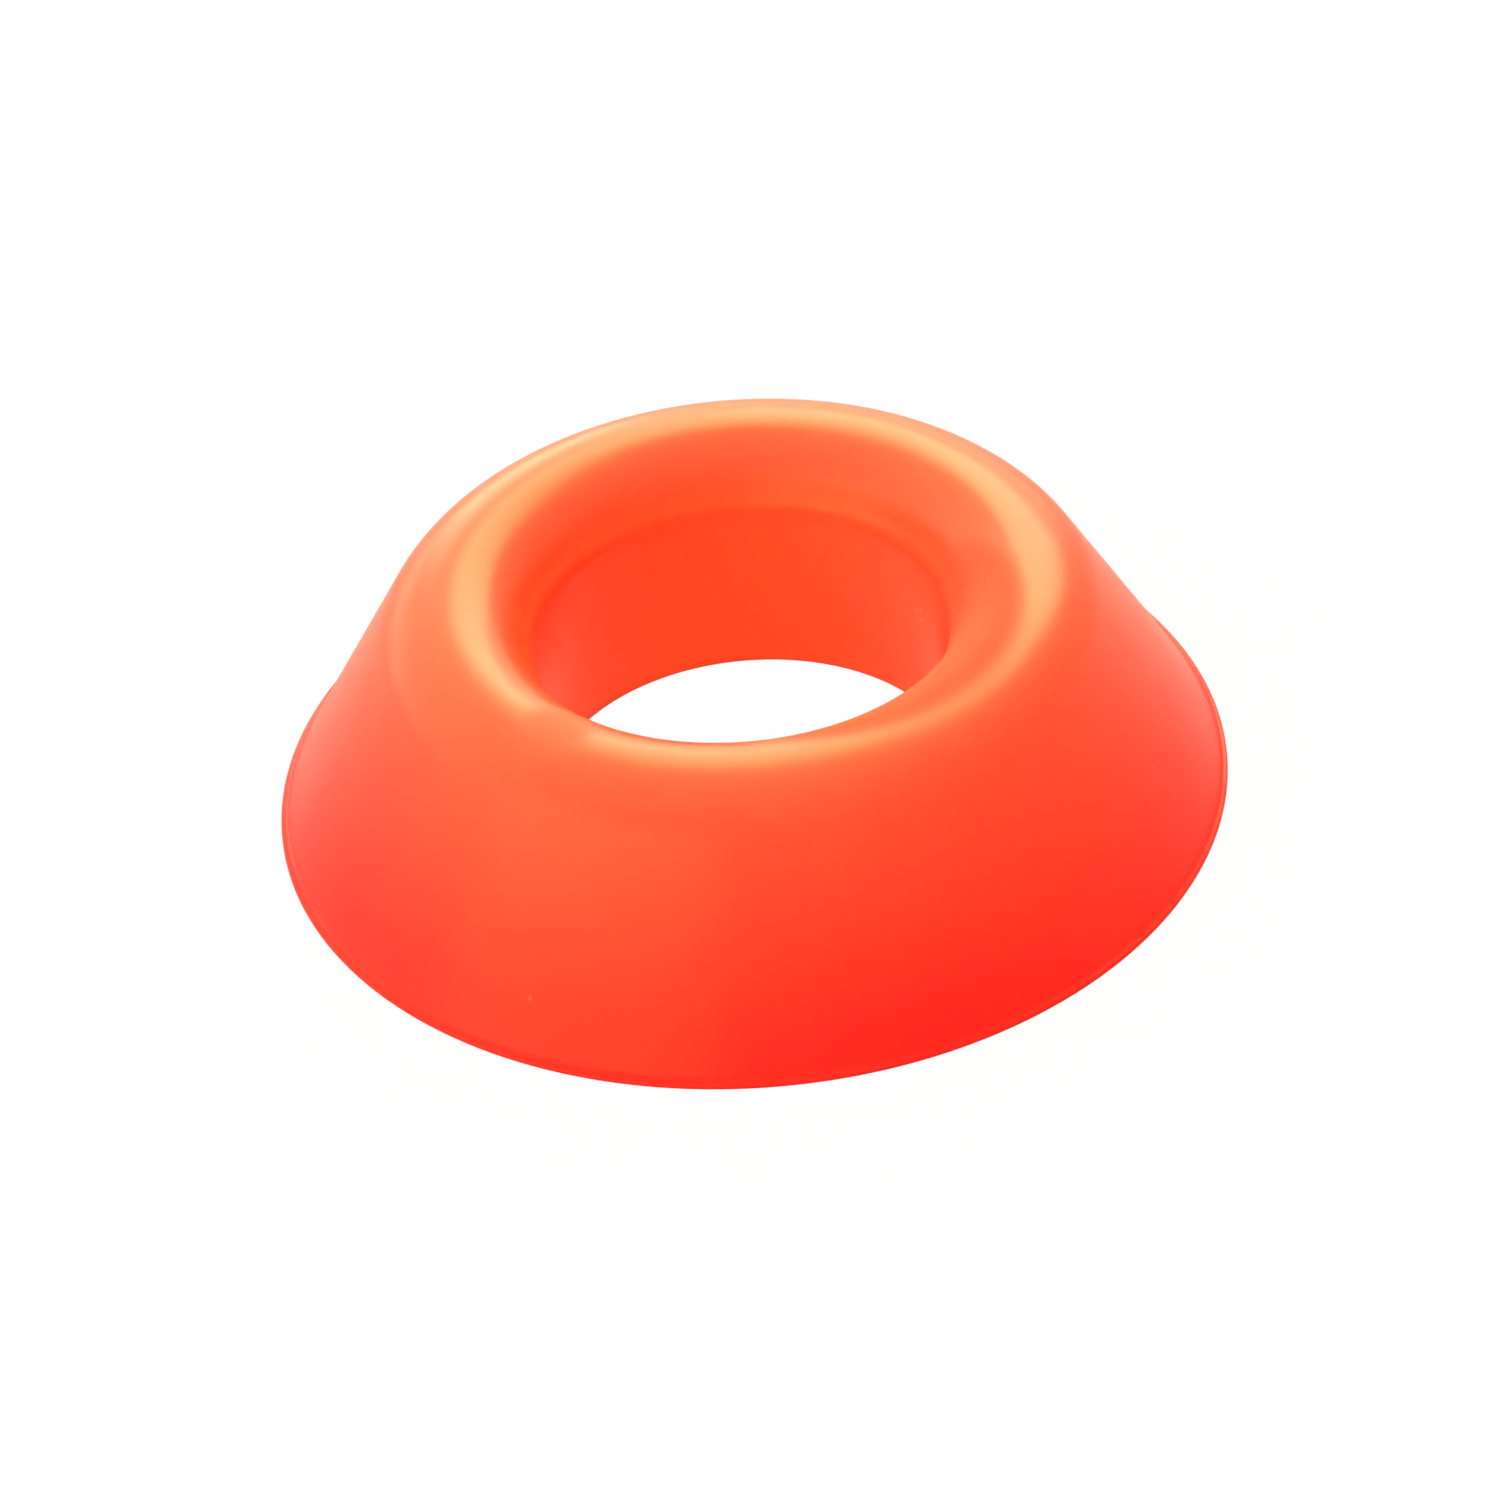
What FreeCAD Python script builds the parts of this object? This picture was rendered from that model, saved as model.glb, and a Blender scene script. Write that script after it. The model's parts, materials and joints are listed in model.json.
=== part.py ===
"""Round-bottom flask stand: one ring of moulded silicone rubber.

The ring is a body of revolution about Z, standing on its flat base at Z = 0.
Its section runs from the base, round a thin moulding lip at the foot, up a
straight conical flank, over a full rounded rim, down the seat that carries
the flask, over a small land and down the straight bore to the base again.
All sizes are in millimetres and degrees.
"""
import FreeCAD, Part
import math
import os

import Sketcher

NODE = "flask_stand"
SHEET = "Sizes"

# Driving sizes: name, value, what it is
SIZES = [
    ("base_radius", 55.0, "outside of the foot lip"),
    ("stand_height", 29.5, "base to the top of the rim"),
    ("bore_radius", 24.0, "straight hole through the ring"),
    ("land_width", 1.1, "radial width of the land between seat and bore"),
    ("land_drop", 1.5, "fall of that land towards the bore"),
    ("seat_run", 0.6, "radial width of the straight part of the seat"),
    ("seat_angle", 66.3, "slope of the straight seat above the horizontal"),
    ("inner_round", 7.5, "radius of the rim on the seat side"),
    ("outer_round", 10.1, "radius of the rim on the flank side"),
    ("lip_height", 0.8, "height of the moulding lip at the foot"),
    ("lip_step", 0.8, "how far the lip stands out from the flank"),
    ("lip_round", 0.35, "rounding of the lip's upper edge"),
    ("foot_blend", 0.5, "hollow round where the flank runs out onto the lip"),
]


def make_sheet(doc):
    """Put every driving size in the sheet, one row each, with its alias."""
    sheet = doc.addObject("Spreadsheet::Sheet", SHEET)
    for row, (name, value, note) in enumerate(SIZES, start=1):
        sheet.set("A%d" % row, name)
        sheet.set("B%d" % row, str(value))
        sheet.setAlias("B%d" % row, name)
        sheet.set("C%d" % row, note)
    doc.recompute()
    return sheet


def origin_item(body, role):
    """The body's own origin plane or axis of that role."""
    for item in body.Origin.OriginFeatures:
        if item.Role == role:
            return item
    raise RuntimeError("no origin feature " + role)


def section_points(sheet):
    """Corners, tangent points and round centres of the section."""
    slope = math.radians(sheet.seat_angle)
    crest_radius = (sheet.bore_radius + sheet.land_width + sheet.seat_run
                    + sheet.inner_round * math.sin(slope))
    crest = (crest_radius, sheet.stand_height)
    inner_centre = (crest_radius, sheet.stand_height - sheet.inner_round)
    outer_centre = (crest_radius, sheet.stand_height - sheet.outer_round)

    # The seat leaves the inner round at its own slope
    seat_top = (crest_radius - sheet.inner_round * math.sin(slope),
                inner_centre[1] + sheet.inner_round * math.cos(slope))
    seat_foot = (seat_top[0] - sheet.seat_run,
                 seat_top[1] - sheet.seat_run * math.tan(slope))
    bore_top = (seat_foot[0] - sheet.land_width, seat_foot[1] - sheet.land_drop)

    # The flank is the tangent from its foot to the outer round
    flank_foot = (sheet.base_radius - sheet.lip_step, sheet.lip_height)
    run = flank_foot[0] - outer_centre[0]
    rise = flank_foot[1] - outer_centre[1]
    toward_foot = math.atan2(rise, run)
    half_turn = math.acos(sheet.outer_round / math.hypot(run, rise))
    normal = toward_foot + half_turn
    flank_top = (outer_centre[0] + sheet.outer_round * math.cos(normal),
                 outer_centre[1] + sheet.outer_round * math.sin(normal))

    return {
        "bore_foot": (sheet.bore_radius, 0.0),
        "base_edge": (sheet.base_radius, 0.0),
        "lip_edge": (sheet.base_radius, sheet.lip_height),
        "flank_foot": flank_foot,
        "flank_top": flank_top,
        "outer_centre": outer_centre,
        "crest": crest,
        "inner_centre": inner_centre,
        "seat_top": seat_top,
        "seat_foot": seat_foot,
        "bore_top": bore_top,
    }


def line(points, start, end):
    """A straight edge of the section between two named points."""
    ends = [FreeCAD.Vector(points[name][0], points[name][1], 0) for name in (start, end)]
    return Part.LineSegment(ends[0], ends[1])


def arc(points, centre, start, end):
    """A round of the section, counter-clockwise from start to end."""
    middle = FreeCAD.Vector(points[centre][0], points[centre][1], 0)
    spokes = [FreeCAD.Vector(points[name][0], points[name][1], 0) - middle
              for name in (start, end)]
    angles = [math.atan2(spoke.y, spoke.x) for spoke in spokes]
    circle = Part.Circle(middle, FreeCAD.Vector(0, 0, 1), spokes[0].Length)
    return Part.ArcOfCircle(circle, angles[0], angles[1])


def draw_section(body, sheet):
    """The half section in the XZ plane, fully constrained to the sheet."""
    sketch = body.newObject("Sketcher::SketchObject", "Section")
    sketch.AttachmentSupport = [(origin_item(body, "XZ_Plane"), "")]
    sketch.MapMode = "FlatFace"
    points = section_points(sheet)

    base = sketch.addGeometry(line(points, "bore_foot", "base_edge"), False)
    lip_side = sketch.addGeometry(line(points, "base_edge", "lip_edge"), False)
    lip_top = sketch.addGeometry(line(points, "lip_edge", "flank_foot"), False)
    flank = sketch.addGeometry(line(points, "flank_foot", "flank_top"), False)
    outer = sketch.addGeometry(arc(points, "outer_centre", "flank_top", "crest"), False)
    inner = sketch.addGeometry(arc(points, "inner_centre", "crest", "seat_top"), False)
    seat = sketch.addGeometry(line(points, "seat_top", "seat_foot"), False)
    land = sketch.addGeometry(line(points, "seat_foot", "bore_top"), False)
    bore = sketch.addGeometry(line(points, "bore_top", "bore_foot"), False)

    # Point numbers of an edge, and the sketch's own axes
    start, end, centre = 1, 2, 3
    axes, origin = -1, 1

    def add(*terms):
        """Add one constraint and give its index."""
        return sketch.addConstraint(Sketcher.Constraint(*terms))

    # Corners that meet at an angle
    add("Coincident", base, end, lip_side, start)
    add("Coincident", lip_side, end, lip_top, start)
    add("Coincident", lip_top, end, flank, start)
    add("Coincident", seat, end, land, start)
    add("Coincident", land, end, bore, start)
    add("Coincident", bore, end, base, start)

    # Joints that run on smoothly, and a level crest under both centres
    add("Tangent", flank, end, outer, start)
    add("Coincident", outer, end, inner, start)
    add("Tangent", inner, end, seat, start)
    add("Vertical", outer, centre, outer, end)
    add("Vertical", inner, centre, inner, start)

    add("PointOnObject", base, start, axes)
    add("Horizontal", base)
    add("Horizontal", lip_top)
    add("Vertical", lip_side)
    add("Vertical", bore)

    def bind(name, expression, *terms):
        """Add a named dimension and tie it to the sheet."""
        index = add(*terms)
        sketch.renameConstraint(index, name)
        sketch.setExpression("Constraints." + name, expression)

    bind("BoreRadius", SHEET + ".bore_radius",
         "DistanceX", axes, origin, bore, end, sheet.bore_radius)
    bind("BaseRadius", SHEET + ".base_radius",
         "DistanceX", axes, origin, base, end, sheet.base_radius)
    bind("LipHeight", SHEET + ".lip_height",
         "DistanceY", lip_side, start, lip_side, end, sheet.lip_height)
    bind("LipStep", SHEET + ".lip_step",
         "DistanceX", lip_top, end, lip_top, start, sheet.lip_step)
    bind("StandHeight", SHEET + ".stand_height",
         "DistanceY", axes, origin, outer, end, sheet.stand_height)
    bind("OuterRound", SHEET + ".outer_round", "Radius", outer, sheet.outer_round)
    bind("InnerRound", SHEET + ".inner_round", "Radius", inner, sheet.inner_round)
    bind("SeatRun", SHEET + ".seat_run",
         "DistanceX", seat, end, seat, start, sheet.seat_run)
    bind("SeatAngle", SHEET + ".seat_angle * 1 deg",
         "Angle", axes, start, seat, end, math.radians(sheet.seat_angle))
    bind("LandWidth", SHEET + ".land_width",
         "DistanceX", land, end, land, start, sheet.land_width)
    bind("LandDrop", SHEET + ".land_drop",
         "DistanceY", land, end, land, start, sheet.land_drop)
    return sketch


def rim_edge(shape, radius, height):
    """Name of the circular edge at that radius and height."""
    near = 1e-4
    for number, edge in enumerate(shape.Edges, start=1):
        curve = edge.Curve
        if not isinstance(curve, Part.Circle):
            continue
        if abs(curve.Radius - radius) < near and abs(curve.Center.z - height) < near:
            return "Edge%d" % number
    raise RuntimeError("no edge at radius %g, height %g" % (radius, height))


def round_edge(body, base, name, edge, size):
    """Round one circular edge of a feature by a radius from the sheet."""
    rounded = body.newObject("PartDesign::Fillet", name)
    rounded.Base = (base, [rim_edge(base.Shape, edge[0], edge[1])])
    rounded.setExpression("Radius", SHEET + "." + size)
    return rounded


def make_stand(doc, sheet):
    """Turn the section into the ring, then soften the lip at its foot."""
    body = doc.addObject("PartDesign::Body", "FlaskStand")
    body.Label = NODE
    sketch = draw_section(body, sheet)
    doc.recompute()

    ring = body.newObject("PartDesign::Revolution", "Ring")
    ring.Profile = sketch
    ring.ReferenceAxis = (sketch, ["V_Axis"])
    ring.Angle = 360.0
    doc.recompute()

    # The lip's upper edge, then the hollow corner behind it
    lip_edge = (sheet.base_radius, sheet.lip_height)
    flank_foot = (sheet.base_radius - sheet.lip_step, sheet.lip_height)
    eased = round_edge(body, ring, "LipRound", lip_edge, "lip_round")
    doc.recompute()
    blended = round_edge(body, eased, "FootBlend", flank_foot, "foot_blend")
    body.Tip = blended
    doc.recompute()
    return body


def check(doc, body):
    """Stop before writing if anything failed to build."""
    for item in doc.Objects:
        if "Invalid" in item.State or "Error" in item.State:
            raise RuntimeError(item.Name + " did not build")
    shape = body.Shape
    if shape.isNull() or not shape.isValid() or len(shape.Solids) != 1:
        raise RuntimeError(body.Label + " is not one valid solid")


def main():
    doc = FreeCAD.newDocument("FlaskStand")
    sheet = make_sheet(doc)
    body = make_stand(doc, sheet)
    check(doc, body)
    os.makedirs("parts", exist_ok=True)
    body.Shape.exportStep("parts/%s.step" % body.Label)
    box = body.Shape.optimalBoundingBox()
    print("%s: %.2f x %.2f x %.2f mm, %.1f cm3"
          % (body.Label, box.XLength, box.YLength, box.ZLength, body.Shape.Volume / 1000))


main()
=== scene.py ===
# %% [markdown]
# A rubber stand for a round-bottom flask
#
# A round-bottom flask can't stand by itself, so on the bench it sits in a low, heavy ring.
# This one is a single moulding of orange-red silicone rubber. The lesson makes it from one
# drawn section turned about its axis, then gives it the soft, slightly see-through look of
# silicone, and lights it plainly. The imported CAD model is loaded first, as the frame that
# everything here has to fit.

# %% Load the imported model
import json
import math

import bpy
from mathutils import Matrix, Vector


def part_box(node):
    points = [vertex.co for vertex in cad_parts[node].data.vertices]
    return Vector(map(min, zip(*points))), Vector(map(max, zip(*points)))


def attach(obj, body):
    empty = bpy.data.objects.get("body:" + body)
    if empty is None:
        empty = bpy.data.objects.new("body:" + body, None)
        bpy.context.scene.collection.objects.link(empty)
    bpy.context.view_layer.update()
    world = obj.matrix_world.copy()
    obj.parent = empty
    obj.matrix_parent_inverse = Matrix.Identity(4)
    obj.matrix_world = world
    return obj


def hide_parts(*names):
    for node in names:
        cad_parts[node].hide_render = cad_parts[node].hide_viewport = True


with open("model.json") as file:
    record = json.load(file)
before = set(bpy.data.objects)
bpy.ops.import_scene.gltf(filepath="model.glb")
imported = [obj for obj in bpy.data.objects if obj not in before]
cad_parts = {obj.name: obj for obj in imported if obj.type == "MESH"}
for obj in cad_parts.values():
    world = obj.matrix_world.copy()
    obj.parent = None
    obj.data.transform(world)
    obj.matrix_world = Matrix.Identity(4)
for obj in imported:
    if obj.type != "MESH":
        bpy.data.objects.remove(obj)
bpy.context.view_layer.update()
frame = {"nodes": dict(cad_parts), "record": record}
print("nodes in the frame:", sorted(frame["nodes"]))

# %% [markdown]
# Sizes
#
# The outside size comes from the frame, and so does the bore, which the record states as a
# mount. The rest are the maker's own sizes, in metres and degrees: how the rim is rounded,
# how the seat slopes, and how thin the lip is where the two halves of the mould met at the
# foot. Writing them once, here, keeps every later step free of bare numbers.
#
# Two of them serve the eye only, since a moulded edge is never as crisp as a drawn one: the
# top of the lip falls away a little towards its edge, and the corner between the seat and
# the land below it is eased, so that the two read as one soft bend.

# %% Sizes of the ring
MM = 0.001
NODE = "flask_stand"
node_low, node_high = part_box(NODE)
mounts = {mount["name"]: mount for mount in frame["record"]["mounts"]}

BASE_RADIUS = (node_high.x - node_low.x) / 2
STAND_HEIGHT = node_high.z - node_low.z
BORE_RADIUS = mounts["bore"]["dims"]["r_mm"] * MM
LAND_WIDTH = 1.1 * MM
LAND_DROP = 1.5 * MM
SEAT_RUN = 0.6 * MM
SEAT_SLOPE = math.radians(66.3)
INNER_ROUND = 7.5 * MM
OUTER_ROUND = 10.1 * MM
LIP_HEIGHT = 0.8 * MM
LIP_STEP = 0.8 * MM
LIP_FALL = 0.35 * MM
SEAT_EASE = 0.2 * MM
print("base radius %.2f mm, height %.2f mm, bore radius %.2f mm"
      % (BASE_RADIUS / MM, STAND_HEIGHT / MM, BORE_RADIUS / MM))

# %% [markdown]
# The corners of the section
#
# The section is drawn first as a polygon with sharp corners, the way a toolmaker draws it,
# and rounded afterwards. Two of its corners lie in the air above the rim: the flank and the
# seat are carried on until they meet the level of the rim's top. Rounding those two corners
# with the right radii gives two arcs that meet exactly at the crest. The edges round the
# base are kept small and crisp, and the two corners of the land are rounded generously.

# %% Work out the corners
BASE_EDGE_ROUND = 0.15 * MM
LIP_ROUND = 0.30 * MM
FOOT_ROUND = 1.3 * MM
SEAT_FOOT_ROUND = 12.0 * MM
BORE_TOP_ROUND = 4.0 * MM


def section_corners():
    """Sharp corners of the half section as (name, radius from the axis, height, rounding)."""
    crest_radius = BORE_RADIUS + LAND_WIDTH + SEAT_RUN + INNER_ROUND * math.sin(SEAT_SLOPE)

    # The flank runs from its foot as a tangent to the outer round
    foot = Vector((BASE_RADIUS - LIP_STEP, LIP_HEIGHT))
    centre = Vector((crest_radius, STAND_HEIGHT - OUTER_ROUND))
    toward_foot = foot - centre
    half_turn = math.acos(OUTER_ROUND / toward_foot.length)
    flank_slope = math.pi / 2 - (math.atan2(toward_foot.y, toward_foot.x) + half_turn)

    # A round of radius R between two lines starts R * tan(half the turn) from their corner
    outer_reach = OUTER_ROUND * math.tan(flank_slope / 2)
    inner_reach = INNER_ROUND * math.tan(SEAT_SLOPE / 2)

    seat_top_height = STAND_HEIGHT - INNER_ROUND * (1 - math.cos(SEAT_SLOPE))
    seat_foot_height = seat_top_height - SEAT_RUN * math.tan(SEAT_SLOPE)
    seat_foot_radius = BORE_RADIUS + LAND_WIDTH - SEAT_EASE
    bore_top_height = seat_foot_height - LAND_DROP
    print("crest radius %.2f mm, flank slope %.1f degrees, bore top at %.2f mm"
          % (crest_radius / MM, math.degrees(flank_slope), bore_top_height / MM))
    return [
        ("Bore Foot", BORE_RADIUS, 0.0, BASE_EDGE_ROUND),
        ("Base Edge", BASE_RADIUS, 0.0, BASE_EDGE_ROUND),
        ("Lip Edge", BASE_RADIUS, LIP_HEIGHT - LIP_FALL, LIP_ROUND),
        ("Flank Foot", foot.x, foot.y, FOOT_ROUND),
        ("Rim Outside", crest_radius + outer_reach, STAND_HEIGHT, OUTER_ROUND),
        ("Rim Inside", crest_radius - inner_reach, STAND_HEIGHT, INNER_ROUND),
        ("Seat Foot", seat_foot_radius, seat_foot_height, SEAT_FOOT_ROUND),
        ("Bore Top", BORE_RADIUS, bore_top_height, BORE_TOP_ROUND),
    ]


CORNERS = section_corners()

# %% [markdown]
# Helpers for node trees
#
# Blender's node trees can be built by hand in the editor or by a script. A script is longer
# to read, but it says every value, and it gives the same tree each time. These few helpers
# keep it short: one adds a node with its values and links, two do sums on numbers and on
# vectors, and one makes the soft step that most masks are made of.

# %% Add nodes and do sums with them
NODE_COLUMN, NODE_ROW, NODES_PER_COLUMN = 220, -260, 6


def new_node(tree, kind, links=None, values=None, **settings):
    """Add a node, set its properties and values, and join the given sockets to its inputs."""
    node = tree.nodes.new(kind)
    for name, value in settings.items():
        setattr(node, name, value)
    for name, value in (values or {}).items():
        node.inputs[name].default_value = value
    for name, source in (links or {}).items():
        tree.links.new(source, node.inputs[name])
    return node


def fill_input(tree, socket, term):
    """Give an input a plain value, or link it to the socket that holds one."""
    if isinstance(term, (int, float, tuple)):
        socket.default_value = term
    else:
        tree.links.new(term, socket)


def calculate(tree, operation, first, second=None):
    """A Math node on sockets or plain numbers, giving its output socket."""
    node = tree.nodes.new("ShaderNodeMath")
    node.operation = operation
    fill_input(tree, node.inputs[0], first)
    if second is not None:
        fill_input(tree, node.inputs[1], second)
    return node.outputs[0]


def compare(tree, operation, first, second):
    """A Vector Math node on sockets or plain vectors, giving the number that it works out."""
    node = tree.nodes.new("ShaderNodeVectorMath")
    node.operation = operation
    fill_input(tree, node.inputs[0], first)
    fill_input(tree, node.inputs[1], second)
    return node.outputs["Value"]


def step_between(tree, value, start, end):
    """A soft step from 0 where the value is start to 1 where it is end."""
    return new_node(tree, "ShaderNodeMapRange", {"Value": value},
                    {"From Min": start, "From Max": end},
                    interpolation_type="SMOOTHSTEP").outputs[0]


def lay_out(tree):
    """Spread the nodes in columns, so that the tree can be read in the editor."""
    for place, node in enumerate(tree.nodes):
        column, row = divmod(place, NODES_PER_COLUMN)
        node.location = (NODE_COLUMN * column, NODE_ROW * row)
    print("%s: %d nodes" % (tree.name, len(tree.nodes)))


# %% [markdown]
# From corners to an outline
#
# A ring whose shape follows a rule is a good job for Geometry Nodes: the corners go in as
# named inputs, and a changed size redraws it all. Spinning a mesh by hand would give the
# same form only once. This first part of the tree joins the corners into a closed outline
# and rounds each of them by its own radius, with more steps on the large rounds than on the
# small ones. The straight runs are then cut into short steps, so that the skin can bend.

# %% Nodes that draw the outline
def pick_by_index(tree, index, data_type, choices):
    """An Index Switch that hands each corner its own value."""
    switch = new_node(tree, "GeometryNodeIndexSwitch", {"Index": index}, data_type=data_type)
    while len(switch.index_switch_items) < len(choices):
        switch.index_switch_items.new()
    for place, choice in enumerate(choices):
        tree.links.new(choice, switch.inputs[place + 1])
    return switch.outputs[0]


def outline_nodes(tree, sizes):
    """Join the corners into a closed outline and round each one."""
    index = new_node(tree, "GeometryNodeInputIndex").outputs[0]
    places = pick_by_index(tree, index, "VECTOR", [sizes[name] for name, *_ in CORNERS])
    radii = pick_by_index(tree, index, "FLOAT",
                          [sizes[name + " Round"] for name, *_ in CORNERS])
    line = new_node(tree, "GeometryNodeMeshLine", values={"Count": len(CORNERS)})
    placed = new_node(tree, "GeometryNodeSetPosition",
                      {"Geometry": line.outputs[0], "Position": places})
    curve = new_node(tree, "GeometryNodeMeshToCurve", {"Mesh": placed.outputs[0]})
    closed = new_node(tree, "GeometryNodeSetSplineCyclic",
                      {"Geometry": curve.outputs[0]}, {"Cyclic": True})

    is_rim = calculate(tree, "GREATER_THAN", radii, sizes["Small Round Limit"])
    extra = calculate(tree, "SUBTRACT", sizes["Rim Steps"], sizes["Corner Steps"])
    more = calculate(tree, "MULTIPLY", is_rim, extra)
    steps = calculate(tree, "ADD", sizes["Corner Steps"], more)
    return new_node(tree, "GeometryNodeFilletCurve",
                    {"Curve": closed.outputs[0], "Radius": radii, "Count": steps},
                    {"Limit Radius": True}, mode="POLY").outputs[0]


def even_steps(tree, outline, sizes):
    """Cut each run of the outline into steps of about the same length."""
    here = new_node(tree, "GeometryNodeInputPosition").outputs[0]
    ahead = new_node(tree, "GeometryNodeOffsetPointInCurve", values={"Offset": 1})
    there = new_node(tree, "GeometryNodeFieldAtIndex",
                     {"Value": here, "Index": ahead.outputs["Point Index"]},
                     data_type="FLOAT_VECTOR", domain="POINT")
    run = compare(tree, "DISTANCE", here, there.outputs[0])
    cuts = calculate(tree, "FLOOR", calculate(tree, "DIVIDE", run, sizes["Step"]))
    return new_node(tree, "GeometryNodeSubdivideCurve",
                    {"Curve": outline, "Cuts": cuts}).outputs[0]


print("outline of %d corners: %s" % (len(CORNERS), ", ".join(name for name, *_ in CORNERS)))

# %% [markdown]
# A skin that isn't quite true
#
# Soft rubber never comes out of its mould perfectly true, and a highlight shows that at
# once. So a last step moves the skin in and out by a few hundredths of a millimetre, along
# its own normal, by a slow noise. Near the bench the movement fades out, because a ring
# that stands on its base has to be flat there. Its noise has a fourth number besides the
# place, which picks one pattern and keeps it.

# %% Nodes that make the skin slightly uneven
STILL_BELOW = 1.5 * MM
UNEVEN_ABOVE = 6.0 * MM
WAVE_PATTERN = 3.7


def soft_unevenness(tree, mesh, sizes):
    """Push the skin along its normal by a little slow noise, but leave the base flat."""
    place = new_node(tree, "GeometryNodeInputPosition").outputs[0]
    height = new_node(tree, "ShaderNodeSeparateXYZ", {"Vector": place}).outputs["Z"]
    above_base = step_between(tree, height, STILL_BELOW, UNEVEN_ABOVE)
    noise = new_node(tree, "ShaderNodeTexNoise",
                     {"Vector": place, "Scale": sizes["Wave Scale"]},
                     {"Detail": 1.0, "W": WAVE_PATTERN}, noise_dimensions="4D")
    centred = calculate(tree, "SUBTRACT", noise.outputs[0], 0.5)
    swing = calculate(tree, "MULTIPLY", centred, sizes["Waviness"])
    amount = calculate(tree, "MULTIPLY", swing, above_base)
    normal = new_node(tree, "GeometryNodeInputNormal").outputs[0]
    shift = new_node(tree, "ShaderNodeVectorMath", operation="SCALE")
    tree.links.new(normal, shift.inputs[0])
    tree.links.new(amount, shift.inputs["Scale"])
    return new_node(tree, "GeometryNodeSetPosition",
                    {"Geometry": mesh, "Offset": shift.outputs[0]}).outputs[0]


print("skin: true up to %.1f mm, uneven from %.1f mm up"
      % (STILL_BELOW / MM, UNEVEN_ABOVE / MM))

# %% [markdown]
# The whole tree
#
# The outline is swept round a circle, as the section is turned about its axis in the CAD
# model. Both close on themselves, so the result is one closed skin, like that of a tyre.
# Realize Instances and Set Material come last: the first makes sure that real faces leave
# the tree, and the second gives them the rubber's material.

# %% Build the ring tree
FLOAT_INPUTS = ("Sweep Radius", "Small Round Limit", "Step", "Waviness", "Wave Scale")
COUNT_INPUTS = ("Sides", "Rim Steps", "Corner Steps")


def add_inputs(tree, names, kind):
    """Add named inputs of one kind to a tree."""
    for name in names:
        tree.interface.new_socket(name, in_out="INPUT", socket_type=kind)


def build_ring_tree():
    tree = bpy.data.node_groups.new("turned ring", "GeometryNodeTree")
    tree.is_modifier = True
    tree.interface.new_socket("Geometry", in_out="OUTPUT",
                              socket_type="NodeSocketGeometry")
    names = [name for name, *_ in CORNERS]
    add_inputs(tree, names, "NodeSocketVector")
    add_inputs(tree, [name + " Round" for name in names], "NodeSocketFloat")
    add_inputs(tree, FLOAT_INPUTS, "NodeSocketFloat")
    add_inputs(tree, COUNT_INPUTS, "NodeSocketInt")
    add_inputs(tree, ["Material"], "NodeSocketMaterial")

    sizes = tree.nodes.new("NodeGroupInput").outputs
    outline = even_steps(tree, outline_nodes(tree, sizes), sizes)
    circle = new_node(tree, "GeometryNodeCurvePrimitiveCircle",
                      {"Resolution": sizes["Sides"], "Radius": sizes["Sweep Radius"]})
    swept = new_node(tree, "GeometryNodeCurveToMesh",
                     {"Curve": circle.outputs[0], "Profile Curve": outline})
    smooth = new_node(tree, "GeometryNodeSetShadeSmooth", {"Geometry": swept.outputs[0]})
    uneven = soft_unevenness(tree, smooth.outputs[0], sizes)
    real = new_node(tree, "GeometryNodeRealizeInstances", {"Geometry": uneven})
    dressed = new_node(tree, "GeometryNodeSetMaterial",
                       {"Geometry": real.outputs[0], "Material": sizes["Material"]})
    out = tree.nodes.new("NodeGroupOutput")
    tree.links.new(dressed.outputs[0], out.inputs["Geometry"])
    lay_out(tree)
    return tree


ring_tree = build_ring_tree()

# %% [markdown]
# What silicone looks like
#
# Pigmented silicone is not an opaque paint. Light goes a few millimetres in, loses its blue
# and green on the way and comes out redder, so shaded places stay a deep warm red instead of
# turning brown. That is subsurface scattering, with a long reach for red and a short one for
# blue. On top lies a smooth but not polished skin, whose broad highlights come out warm.
#
# The body colour deepens from an orange at the rim to a red at the foot's outer edge, which
# is painted shade: darker towards the foot, where less light reaches. The bore's more orange
# tone is painted bounce light, and the land's deeper tone is painted shade in the bend.

# %% Colours of the rubber
# Painted shade: the red that the flank deepens to towards its foot
PAINTED_SHADE_RED = (0.97, 0.009, 0.009, 1.0)
WARM_ORANGE = (0.97, 0.074, 0.028, 1.0)
# Painted shade: the land in the bend between seat and bore is a deeper orange
PAINTED_SHADE_LAND_ORANGE = (0.97, 0.073, 0.019, 1.0)
# Painted bounce light: the bore is a lighter orange, as light bounces about in it
PAINTED_BOUNCE_ORANGE = (0.97, 0.084, 0.021, 1.0)
# A deeper orange for the crescent at the front right of the rim
CRESCENT_ORANGE = (0.97, 0.052, 0.018, 1.0)
PALE_MARK = (0.97, 0.20, 0.09, 1.0)
HIGHLIGHT_TINT = (1.0, 0.85, 0.24, 1.0)
REACH = 4 * MM
REACH_BY_COLOUR = (1.0, 0.22, 0.08)
print("light reaches %.1f mm in red, %.2f in green and %.2f in blue"
      % tuple(share * REACH / MM for share in REACH_BY_COLOUR))

# %% [markdown]
# Marks on the moulding
#
# Real mouldings carry small marks. This one has a small double fleck on the wall of its
# bore, a faint rub low on its flank, and a duller place on the rim at the front left. All
# are the same thing, a soft round spot with a ragged edge at a place on the surface, so one
# node group makes them, and the material uses it with different values. Four small spots
# side by side make the double fleck.

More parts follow.
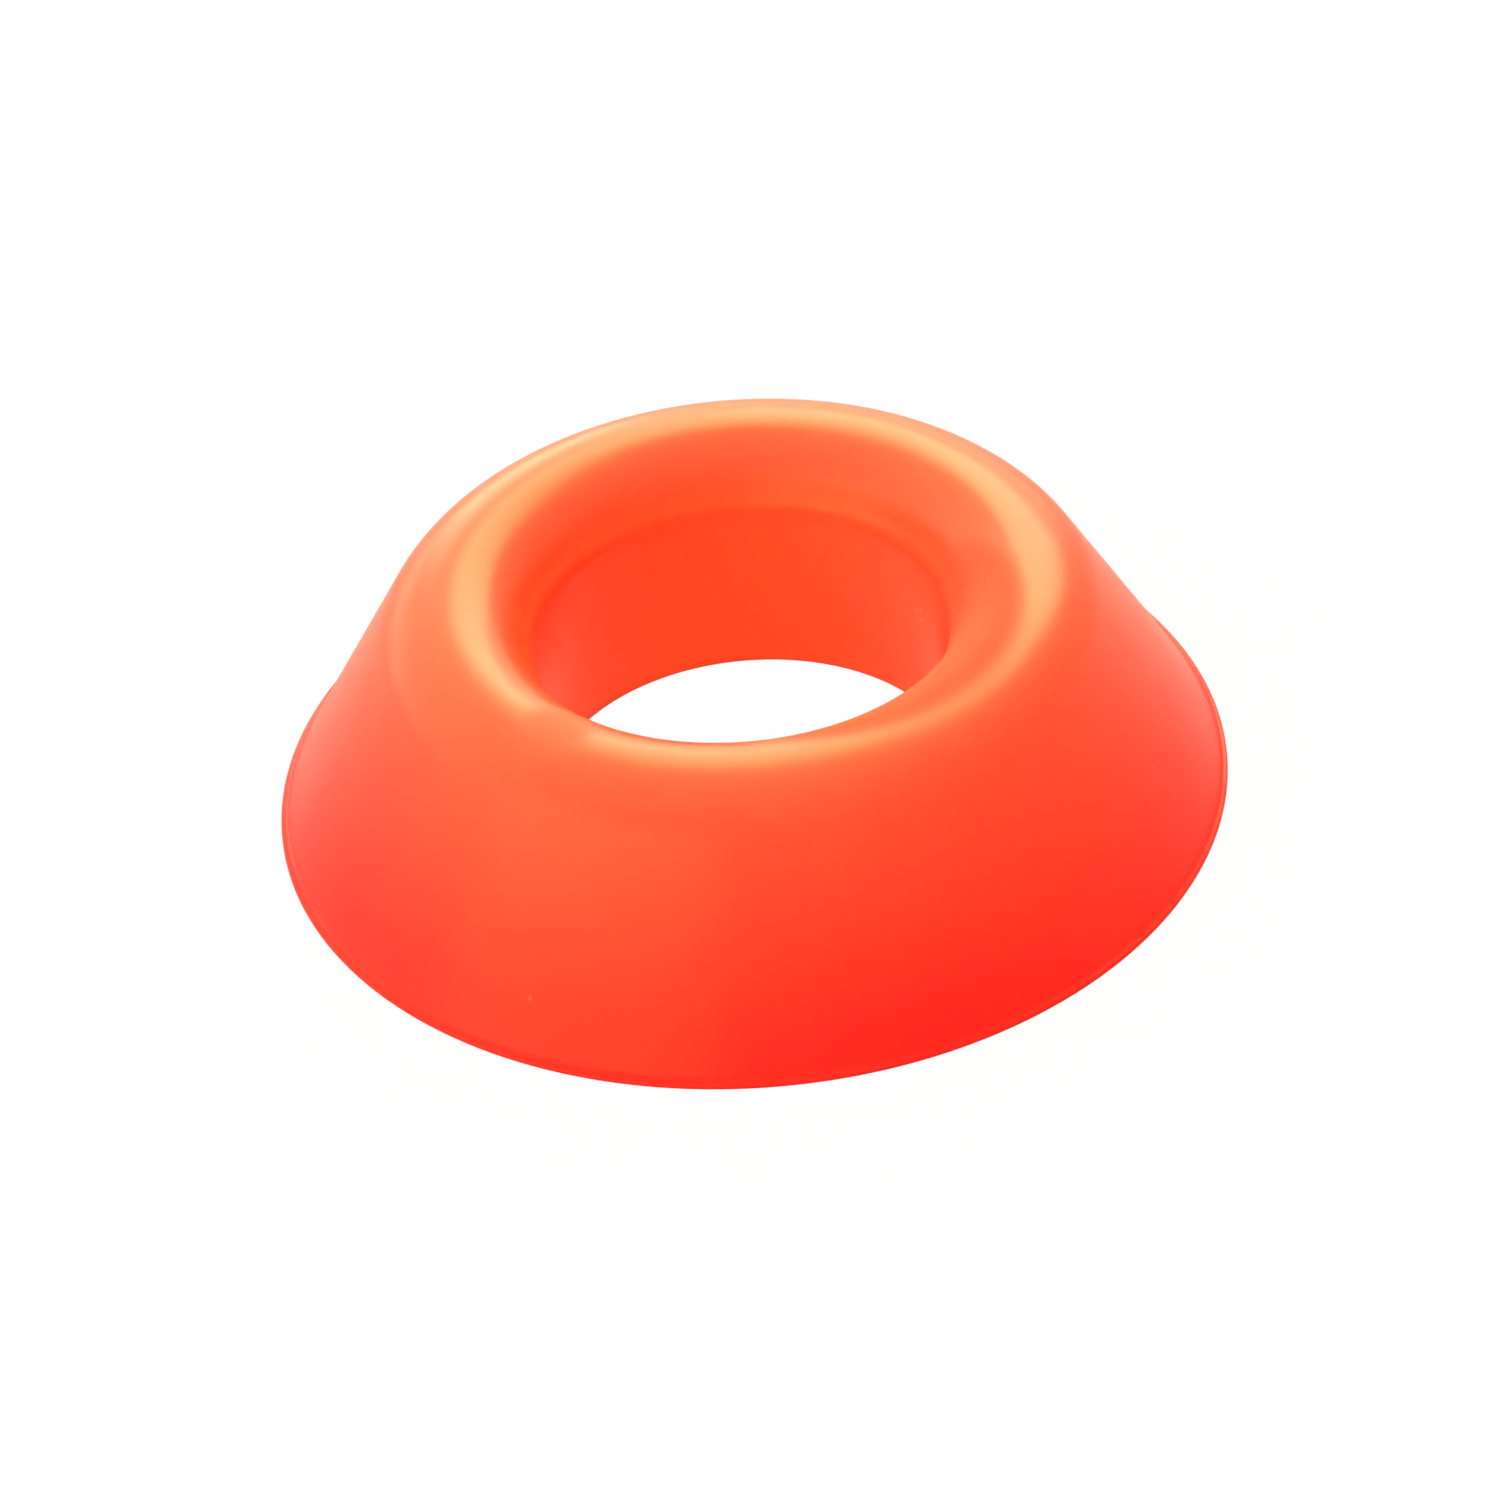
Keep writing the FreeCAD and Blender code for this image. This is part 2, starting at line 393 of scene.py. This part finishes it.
# %% A group that makes one small spot
FLECKS = [(0.02072, 0.01211, 0.01430), (0.02117, 0.01130, 0.01480),
          (0.02111, 0.01141, 0.01340), (0.02142, 0.01082, 0.01375)]
FLECK_SIZE, FLECK_RAGGED = 0.6 * MM, 0.4
FLANK_RUB = (-0.02711, -0.04338, 0.00638)
RUB_SIZE, RUB_RAGGED = 0.9 * MM, 0.9
DULL_LEFT = (-0.0215, -0.0240, 0.0292)
DULL_SIZE, DULL_RAGGED = 7 * MM, 0.25
SPOT_FADE = (1.0, 0.45)
RAGGED_SCALE = 1400.0


def build_spot_group():
    tree = bpy.data.node_groups.new("small spot", "ShaderNodeTree")
    tree.interface.new_socket("Mask", in_out="OUTPUT", socket_type="NodeSocketFloat")
    add_inputs(tree, ["Centre"], "NodeSocketVector")
    add_inputs(tree, ["Length", "Breakup"], "NodeSocketFloat")
    given = tree.nodes.new("NodeGroupInput").outputs
    place = new_node(tree, "ShaderNodeTexCoord").outputs["Object"]
    ragged = new_node(tree, "ShaderNodeTexNoise", {"Vector": place},
                      {"Scale": RAGGED_SCALE, "Detail": 2.0}, noise_dimensions="3D")
    far = compare(tree, "DISTANCE", place, given["Centre"])
    share = calculate(tree, "DIVIDE", far, given["Length"])
    torn = calculate(tree, "MULTIPLY", ragged.outputs[0], given["Breakup"])
    mask = step_between(tree, calculate(tree, "ADD", share, torn), *SPOT_FADE)
    out = tree.nodes.new("NodeGroupOutput")
    tree.links.new(mask, out.inputs["Mask"])
    lay_out(tree)
    return tree


spot_group = build_spot_group()
print("marks: %d spots in the bore's fleck, %.1f mm each" % (len(FLECKS), FLECK_SIZE / MM))


def spot(tree, centre, length, breakup):
    """One spot of the group in a material: its centre, its reach and how ragged it is."""
    node = tree.nodes.new("ShaderNodeGroup")
    node.node_tree = spot_group
    node.inputs["Centre"].default_value = centre
    node.inputs["Length"].default_value = length
    node.inputs["Breakup"].default_value = breakup
    return node.outputs["Mask"]


# %% [markdown]
# Places on the ring
#
# A ring is round, so most places on it are told by two measures: how far they are from the
# axis and how high they are. The wall of the bore and the land above it are found that way,
# with soft edges. A third measure, which way a place lies, is needed for the crescent at
# the front right, where the inner side of the rim is duller and a deeper colour. It
# is full in the middle, reaches outwards over the crest there, and narrows to both tips.
# Painting these by hand would do as well, but a rule stays sharp at every distance.

# %% Masks for the bore, the land and the crescent
BORE_BY_RADIUS = (24.5 * MM, 24.1 * MM)
BORE_BY_HEIGHT = (22.2 * MM, 19.0 * MM)
LAND_BY_RADIUS = (27.0 * MM, 24.8 * MM)
LAND_BY_HEIGHT = (19.0 * MM, 22.2 * MM)
CRESCENT_TURN = math.radians(-37)
CRESCENT_TOWARD = (math.cos(CRESCENT_TURN), math.sin(CRESCENT_TURN), 0.0)
CRESCENT_SPREAD = (0.50, 0.78)
CRESCENT_EDGE = (34.0 * MM, 30.2 * MM)
CRESCENT_TAPER = 14 * MM
CRESCENT_TAPER_FROM = 0.85


def both(tree, first, second):
    """The mask where both masks are on."""
    return calculate(tree, "MULTIPLY", first, second)


def ring_masks(tree, place):
    """The distance from the axis, and masks for the bore's wall, the land and the crescent."""
    axes = new_node(tree, "ShaderNodeSeparateXYZ", {"Vector": place}).outputs
    square = calculate(tree, "ADD", calculate(tree, "MULTIPLY", axes["X"], axes["X"]),
                       calculate(tree, "MULTIPLY", axes["Y"], axes["Y"]))
    radius = calculate(tree, "SQRT", square)
    bore = both(tree, step_between(tree, radius, *BORE_BY_RADIUS),
                step_between(tree, axes["Z"], *BORE_BY_HEIGHT))
    land = both(tree, step_between(tree, radius, *LAND_BY_RADIUS),
                step_between(tree, axes["Z"], *LAND_BY_HEIGHT))

    # 1 straight ahead in the crescent's direction, and less to both sides
    along = compare(tree, "DOT_PRODUCT", place, CRESCENT_TOWARD)
    nearness = calculate(tree, "DIVIDE", along, radius)
    beyond = calculate(tree, "SUBTRACT", nearness, CRESCENT_TAPER_FROM)
    widening = calculate(tree, "MULTIPLY", beyond, CRESCENT_TAPER)
    inward = calculate(tree, "SUBTRACT", radius, widening)
    crescent = both(tree, step_between(tree, nearness, *CRESCENT_SPREAD),
                    step_between(tree, inward, *CRESCENT_EDGE))
    return radius, bore, land, crescent


print("crescent towards %.0f degrees" % math.degrees(CRESCENT_TURN))

# %% [markdown]
# The colour of the silicone
#
# The material reads Object coordinates, so its pattern is fixed to the rubber at its real
# scale. The two main tones are mixed by the distance from the axis, a painted shade that
# deepens the red towards the foot, and by a slow noise, since the colour wanders a little
# where the rubber flowed in the mould. The painted bounce light of the bore, the painted
# shade of the land, the tone of the crescent and the marks are then laid over it one by one.

# %% Mix the colours
# Radii over which the painted shade's red at the foot gives way to orange
FOOT_SHADE_RANGE = (55 * MM, 34.5 * MM)
FLOW_NOISE = {"Scale": 38.0, "Detail": 3.0, "Roughness": 0.55, "Distortion": 0.6}
FLOW_SHARE = 0.25
CRESCENT_TONE_SHARE = 0.8
MARK_SHARE = 0.5


def tint(tree, base, colour, mask):
    """Lay a colour over a base, which is a colour or a socket, where the mask is on."""
    node = new_node(tree, "ShaderNodeMix", {"Factor": mask}, data_type="RGBA")
    fill_input(tree, node.inputs["A"], base)
    fill_input(tree, node.inputs["B"], colour)
    return node.outputs["Result"]


def rubber_colour(tree, place, radius, bore, land, crescent, marks):
    """The rubber's colour at each place, with painted shade and painted bounce light laid in.
    """
    flow = new_node(tree, "ShaderNodeTexNoise", {"Vector": place}, FLOW_NOISE)
    centred = calculate(tree, "SUBTRACT", flow.outputs[0], 0.5)
    drift = calculate(tree, "MULTIPLY", centred, FLOW_SHARE)
    # Painted shade by the distance from the axis, plus a random drift of tone
    shade_and_flow = calculate(tree, "ADD", step_between(tree, radius, *FOOT_SHADE_RANGE), drift)
    colour = tint(tree, PAINTED_SHADE_RED, WARM_ORANGE, shade_and_flow)
    # Painted bounce light in the bore
    colour = tint(tree, colour, PAINTED_BOUNCE_ORANGE, bore)
    # Painted shade on the land
    colour = tint(tree, colour, PAINTED_SHADE_LAND_ORANGE, land)
    crescent_tone = calculate(tree, "MULTIPLY", crescent, CRESCENT_TONE_SHARE)
    colour = tint(tree, colour, CRESCENT_ORANGE, crescent_tone)
    return tint(tree, colour, PALE_MARK, calculate(tree, "MULTIPLY", marks, MARK_SHARE))


print("red at %.1f mm from the axis, orange from %.1f mm in"
      % tuple(radius / MM for radius in FOOT_SHADE_RANGE))

# %% [markdown]
# The shine and the grain
#
# A moulded skin shines evenly, but never quite evenly: a second noise makes it a little more
# or less rough from place to place. It is rougher, and so duller, in the crescent and at the
# front left, and slightly so in the bore. A very fine noise gives it the even grain of a
# blasted mould, and the small marks stand out from it by a few hundredths of a millimetre.
# The grain is bump only, because nobody sees its outline.

# %% Work out the roughness and the bump
SHINE_NOISE = {"Scale": 90.0, "Detail": 4.0}
SHINE_NOISE_RANGE = (0.3, 0.7)
ROUGHNESS_RANGE = (0.285, 0.335)
DULL_ROUGHER = 0.56
BORE_ROUGHER = 0.05
DULL_LEFT_SHARE = 0.6
GRAIN_NOISE = {"Scale": 2600.0, "Detail": 2.0}
GRAIN_RELIEF = 0.25
MARK_RELIEF = 2.0
RELIEF_HEIGHT = 0.06 * MM
RELIEF_STRENGTH = 0.35


def skin_roughness(tree, place, bore, crescent):
    """The roughness of the skin at each place."""
    shine = new_node(tree, "ShaderNodeTexNoise", {"Vector": place}, SHINE_NOISE)
    noise_low, noise_high = SHINE_NOISE_RANGE
    rough_low, rough_high = ROUGHNESS_RANGE
    even = new_node(tree, "ShaderNodeMapRange", {"Value": shine.outputs[0]},
                    {"From Min": noise_low, "From Max": noise_high,
                     "To Min": rough_low, "To Max": rough_high})
    left = spot(tree, DULL_LEFT, DULL_SIZE, DULL_RAGGED)
    left = calculate(tree, "MULTIPLY", left, DULL_LEFT_SHARE)
    dull = calculate(tree, "MAXIMUM", crescent, left)
    duller = calculate(tree, "ADD", calculate(tree, "MULTIPLY", dull, DULL_ROUGHER),
                       calculate(tree, "MULTIPLY", bore, BORE_ROUGHER))
    return calculate(tree, "ADD", even.outputs[0], duller)


def skin_bump(tree, place, marks):
    """The normal of the skin, tilted by its grain and its marks."""
    grain = new_node(tree, "ShaderNodeTexNoise", {"Vector": place}, GRAIN_NOISE)
    relief = calculate(tree, "ADD",
                       calculate(tree, "MULTIPLY", grain.outputs[0], GRAIN_RELIEF),
                       calculate(tree, "MULTIPLY", marks, MARK_RELIEF))
    bump = new_node(tree, "ShaderNodeBump", {"Height": relief},
                    {"Strength": RELIEF_STRENGTH, "Distance": RELIEF_HEIGHT})
    return bump.outputs[0]


print("roughness %.3f to %.3f, and up to %.2f more where it is dull"
      % (*ROUGHNESS_RANGE, DULL_ROUGHER))

# %% [markdown]
# The silicone material
#
# One Principled shader carries it all. What changes over the surface, the colour, the
# roughness and the grain, is linked to it. Numbers that are the same all over stay on the
# shader itself: how strongly silicone bends light, how much it reflects head on, the warm
# tint of its highlights, and how far light goes in.

# %% Build the silicone material
SILICONE = {"IOR": 1.43, "Specular IOR Level": 0.35, "Specular Tint": HIGHLIGHT_TINT,
            "Subsurface Weight": 0.6, "Subsurface Radius": REACH_BY_COLOUR,
            "Subsurface Scale": REACH}
RUB_SHARE = 0.6


def mark_mask(tree):
    """The rub on the flank and the flecks in the bore."""
    rub = spot(tree, FLANK_RUB, RUB_SIZE, RUB_RAGGED)
    marks = calculate(tree, "MULTIPLY", rub, RUB_SHARE)
    for centre in FLECKS:
        fleck = spot(tree, centre, FLECK_SIZE, FLECK_RAGGED)
        marks = calculate(tree, "MAXIMUM", marks, fleck)
    return marks


def build_silicone():
    material = bpy.data.materials.new("silicone rubber")
    material.use_nodes = True
    tree = material.node_tree
    shader = tree.nodes["Principled BSDF"]
    place = new_node(tree, "ShaderNodeTexCoord").outputs["Object"]
    radius, bore, land, crescent = ring_masks(tree, place)
    marks = mark_mask(tree)
    linked = {"Base Color": rubber_colour(tree, place, radius, bore, land, crescent, marks),
              "Roughness": skin_roughness(tree, place, bore, crescent),
              "Normal": skin_bump(tree, place, marks)}
    for name, source in linked.items():
        tree.links.new(source, shader.inputs[name])
    for name, value in SILICONE.items():
        shader.inputs[name].default_value = value
    print("silicone:", len(tree.nodes), "nodes")
    return material


silicone = build_silicone()

# %% [markdown]
# Make the ring
#
# The tree runs on an empty mesh through a modifier. Its inputs are set by their identifiers,
# which the tree's interface gives for each name. The result is then copied into a plain
# mesh, so that what follows sees ordinary faces. The sweep places the
# outline across its own circle, so each corner's radius is counted from that circle, and
# its height points down the outline's own second axis.

# %% Run the tree and keep its mesh
SWEEP_RADIUS = BORE_RADIUS + INNER_ROUND
RING_INPUTS = {"Sweep Radius": SWEEP_RADIUS, "Small Round Limit": 2.5 * MM,
               "Step": 1.5 * MM, "Waviness": 0.10 * MM, "Wave Scale": 45.0,
               "Sides": 360, "Rim Steps": 26, "Corner Steps": 6, "Material": silicone}


def outline_point(radius, height):
    """A corner in the outline's own plane, as the sweep expects it."""
    return (radius - SWEEP_RADIUS, -height, 0.0)


def set_inputs(modifier, values):
    """Set a modifier's inputs by the names that its tree gives them."""
    names = {item.name: item.identifier
             for item in modifier.node_group.interface.items_tree if item.in_out == "INPUT"}
    for name, value in values.items():
        modifier[names[name]] = value


def make_ring():
    holder = bpy.data.objects.new("ring being made", bpy.data.meshes.new("empty"))
    bpy.context.scene.collection.objects.link(holder)
    modifier = holder.modifiers.new("turned ring", "NODES")
    modifier.node_group = ring_tree
    set_inputs(modifier, RING_INPUTS)
    for name, radius, height, rounding in CORNERS:
        set_inputs(modifier, {name: outline_point(radius, height),
                              name + " Round": rounding})

    evaluated = holder.evaluated_get(bpy.context.evaluated_depsgraph_get())
    mesh = bpy.data.meshes.new_from_object(evaluated)
    mesh.name = "silicone ring"
    ring = bpy.data.objects.new("silicone_ring", mesh)
    bpy.context.scene.collection.objects.link(ring)
    bpy.data.objects.remove(holder)
    triangles = sum(len(face.vertices) - 2 for face in mesh.polygons)
    print("ring:", len(mesh.vertices), "vertices,", triangles, "triangles")
    return ring


ring = make_ring()
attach(ring, "root")
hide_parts(NODE)

# %% [markdown]
# The floor
#
# A product picture stands on white. The floor is a large pale plane that still takes the
# ring's soft shadow. Nearly all that the camera and the gloss see of it is its own glow, so
# it reads as white paper without any extra light being thrown on the rubber. In the gloss it
# is slightly warm, as the studio's light is. It lies a hair below the base, because two
# faces in one plane show through each other.

# %% Lay the floor
FLOOR_SIDE = 6.0
FLOOR_COLOUR = (0.50, 0.50, 0.50, 1.0)
FLOOR_GLOW = 0.98
FLOOR_GAP = 0.05 * MM
WHITE = (1.0, 1.0, 1.0, 1.0)
WARM_WHITE = (1.0, 0.93, 0.70, 1.0)


def seen_plainly(tree):
    """A mask for camera and transmission rays."""
    path = tree.nodes.new("ShaderNodeLightPath").outputs
    return calculate(tree, "MAXIMUM", path["Is Camera Ray"], path["Is Transmission Ray"])


def shown_white(tree, plainly):
    """That mask with glossy rays added, and the white that each kind of ray is shown."""
    glossy = tree.nodes.new("ShaderNodeLightPath").outputs["Is Glossy Ray"]
    return calculate(tree, "MAXIMUM", plainly, glossy), tint(tree, WHITE, WARM_WHITE, glossy)


def build_floor_material():
    material = bpy.data.materials.new("white paper")
    material.use_nodes = True
    tree = material.node_tree
    tree.nodes.clear()
    paper = new_node(tree, "ShaderNodeBsdfDiffuse", values={"Color": FLOOR_COLOUR})
    shown, colour = shown_white(tree, seen_plainly(tree))
    glow = new_node(tree, "ShaderNodeEmission", {"Color": colour}, {"Strength": 1.0})
    share = calculate(tree, "MULTIPLY", shown, FLOOR_GLOW)
    mixed = new_node(tree, "ShaderNodeMixShader", {"Fac": share})
    tree.links.new(paper.outputs[0], mixed.inputs[1])
    tree.links.new(glow.outputs[0], mixed.inputs[2])
    out = tree.nodes.new("ShaderNodeOutputMaterial")
    tree.links.new(mixed.outputs[0], out.inputs["Surface"])
    return material


def make_floor():
    half = FLOOR_SIDE / 2
    mesh = bpy.data.meshes.new("floor")
    mesh.from_pydata([(-half, -half, 0), (half, -half, 0), (half, half, 0), (-half, half, 0)],
                     [], [(0, 1, 2, 3)])
    mesh.materials.append(build_floor_material())
    floor = bpy.data.objects.new("floor", mesh)
    bpy.context.scene.collection.objects.link(floor)
    floor.location.z = node_low.z - FLOOR_GAP
    print("floor: %.0f m wide, %.2f mm below the base" % (FLOOR_SIDE, FLOOR_GAP / MM))
    return floor


make_floor()

# %% [markdown]
# The room
#
# Beyond the lamps the ring sees the walls of the studio. They are a dim grey all round, and
# lighter towards the left behind the ring, which is what brightens its left flank. The
# world could be an image of a room, but a simple rule by direction does it without any file.
# To the camera it is plain white in every view, and to the gloss it is never less than that.

# %% Set up the world
WORLD_FILL = 0.28
GLOW_TOWARD = (-0.88, 0.36, 0.26)
WIDE_GLOW = 1.7
NARROW_GLOW = 0.8
NARROWNESS = 20.0


def set_world():
    world = bpy.data.worlds.new("studio")
    world.use_nodes = True
    tree = world.node_tree
    direction = new_node(tree, "ShaderNodeTexCoord").outputs["Generated"]
    facing = compare(tree, "DOT_PRODUCT", direction, GLOW_TOWARD)
    ahead = calculate(tree, "MAXIMUM", facing, 0.0)
    peak = calculate(tree, "POWER", ahead, NARROWNESS)
    glow = calculate(tree, "ADD", calculate(tree, "MULTIPLY", ahead, WIDE_GLOW),
                     calculate(tree, "MULTIPLY", peak, NARROW_GLOW))
    light = calculate(tree, "ADD", glow, WORLD_FILL)

    plainly = seen_plainly(tree)
    shown, colour = shown_white(tree, plainly)
    unseen = calculate(tree, "SUBTRACT", 1.0, plainly)
    strength = calculate(tree, "MAXIMUM", shown, calculate(tree, "MULTIPLY", unseen, light))
    background = tree.nodes["Background"]
    tree.links.new(strength, background.inputs["Strength"])
    tree.links.new(colour, background.inputs["Color"])
    bpy.context.scene.world = world
    print("world: %.2f all round and %.2f more at the left" % (WORLD_FILL, WIDE_GLOW))


set_world()

# %% [markdown]
# The lamps
#
# The bright line along the crest of the rim is the reflection of one large warm soft box,
# high behind the ring. Two smaller ones, low behind it, carry that light down the far side
# of the rim. A box above the front lifts the near flank and the bore, and is kept out of the
# gloss so that it draws no second line. The last one stands low at the front left and
# lightens the flank there. Each is placed by its direction from the ring, because moving a
# lamp round the ring moves its reflection round the rim.

# %% Place the lamps
RING_MIDDLE = Vector((0, 0, STAND_HEIGHT / 2))
WARM = (1.0, 0.92, 0.62)
NEUTRAL = (1.0, 1.0, 1.0)

# Name, azimuth, elevation, distance, width and height, power, colour, seen in the gloss
LAMPS = [
    ("key behind", 72, 40, 1.60, (1.08, 1.25), 43.0, WARM, True),
    ("left of key", 102, 16, 1.00, (0.27, 0.32), 1.8, WARM, True),
    ("low behind", 101, 5, 0.75, (1.32, 0.14), 1.5, WARM, True),
    ("front fill", 262, 62, 0.80, (0.50, 0.50), 5.0, NEUTRAL, False),
    ("front left", 224, 18, 0.90, (1.10, 0.45), 2.8, NEUTRAL, True),
]


def toward(azimuth, elevation, distance):
    """A place seen from the ring in that direction, in degrees; 90 is behind it."""
    turn, lift = math.radians(azimuth), math.radians(elevation)
    return Vector((math.cos(lift) * math.cos(turn), math.cos(lift) * math.sin(turn),
                   math.sin(lift))) * distance


def soft_box(name, place, size, power, colour, in_gloss):
    """A rectangular area lamp at a place, facing the ring."""
    lamp = bpy.data.lights.new(name, "AREA")
    lamp.shape = "RECTANGLE"
    lamp.size, lamp.size_y = size
    lamp.energy = power
    lamp.color = colour
    holder = bpy.data.objects.new(name, lamp)
    bpy.context.scene.collection.objects.link(holder)
    turn = (RING_MIDDLE - place).to_track_quat("-Z", "Y").to_matrix().to_4x4()
    holder.matrix_world = Matrix.Translation(place) @ turn
    holder.visible_glossy = in_gloss


for name, azimuth, elevation, distance, *rest in LAMPS:
    soft_box(name, toward(azimuth, elevation, distance), *rest)
print("lamps:", ", ".join(name for name, *_ in LAMPS))

# %% [markdown]
# Camera
#
# The picture was taken with a long lens from about twenty base radii away, 37 degrees above
# the bench, and the frame is turned a few degrees. A long lens keeps the far side of the
# ring nearly as large as the near side. The camera is then pitched down and turned by a
# fraction of a degree, which puts the ring where it is in the picture.

# %% Place the camera
CAMERA_ELEVATION = math.radians(37.16)
CAMERA_DISTANCE = 1.10
CAMERA_ROLL = math.radians(4.97)
CAMERA_LENS = 229.6
CAMERA_SENSOR = 36.0
CAMERA_CLIP = (0.05, 20.0)
AIM_HEIGHT = 0.0165
CAMERA_PITCH = math.radians(0.464)
CAMERA_YAW = math.radians(0.004)


def place_camera():
    data = bpy.data.cameras.new("camera")
    data.sensor_width = CAMERA_SENSOR
    data.lens = CAMERA_LENS
    data.clip_start, data.clip_end = CAMERA_CLIP
    camera = bpy.data.objects.new("camera", data)
    bpy.context.scene.collection.objects.link(camera)
    back = Vector((0, -math.cos(CAMERA_ELEVATION), math.sin(CAMERA_ELEVATION)))
    place = back * CAMERA_DISTANCE + Vector((0, 0, AIM_HEIGHT))
    facing = (-back).to_track_quat("-Z", "Y").to_matrix().to_4x4()
    tilt = Matrix.Rotation(-CAMERA_PITCH, 4, "X") @ Matrix.Rotation(CAMERA_YAW, 4, "Y")
    roll = Matrix.Rotation(-CAMERA_ROLL, 4, "Z")
    camera.matrix_world = Matrix.Translation(place) @ facing @ tilt @ roll
    bpy.context.scene.camera = camera
    print("camera %.2f m away, %.0f mm lens" % (CAMERA_DISTANCE, CAMERA_LENS))


place_camera()
bpy.context.scene.view_settings.view_transform = "Standard"
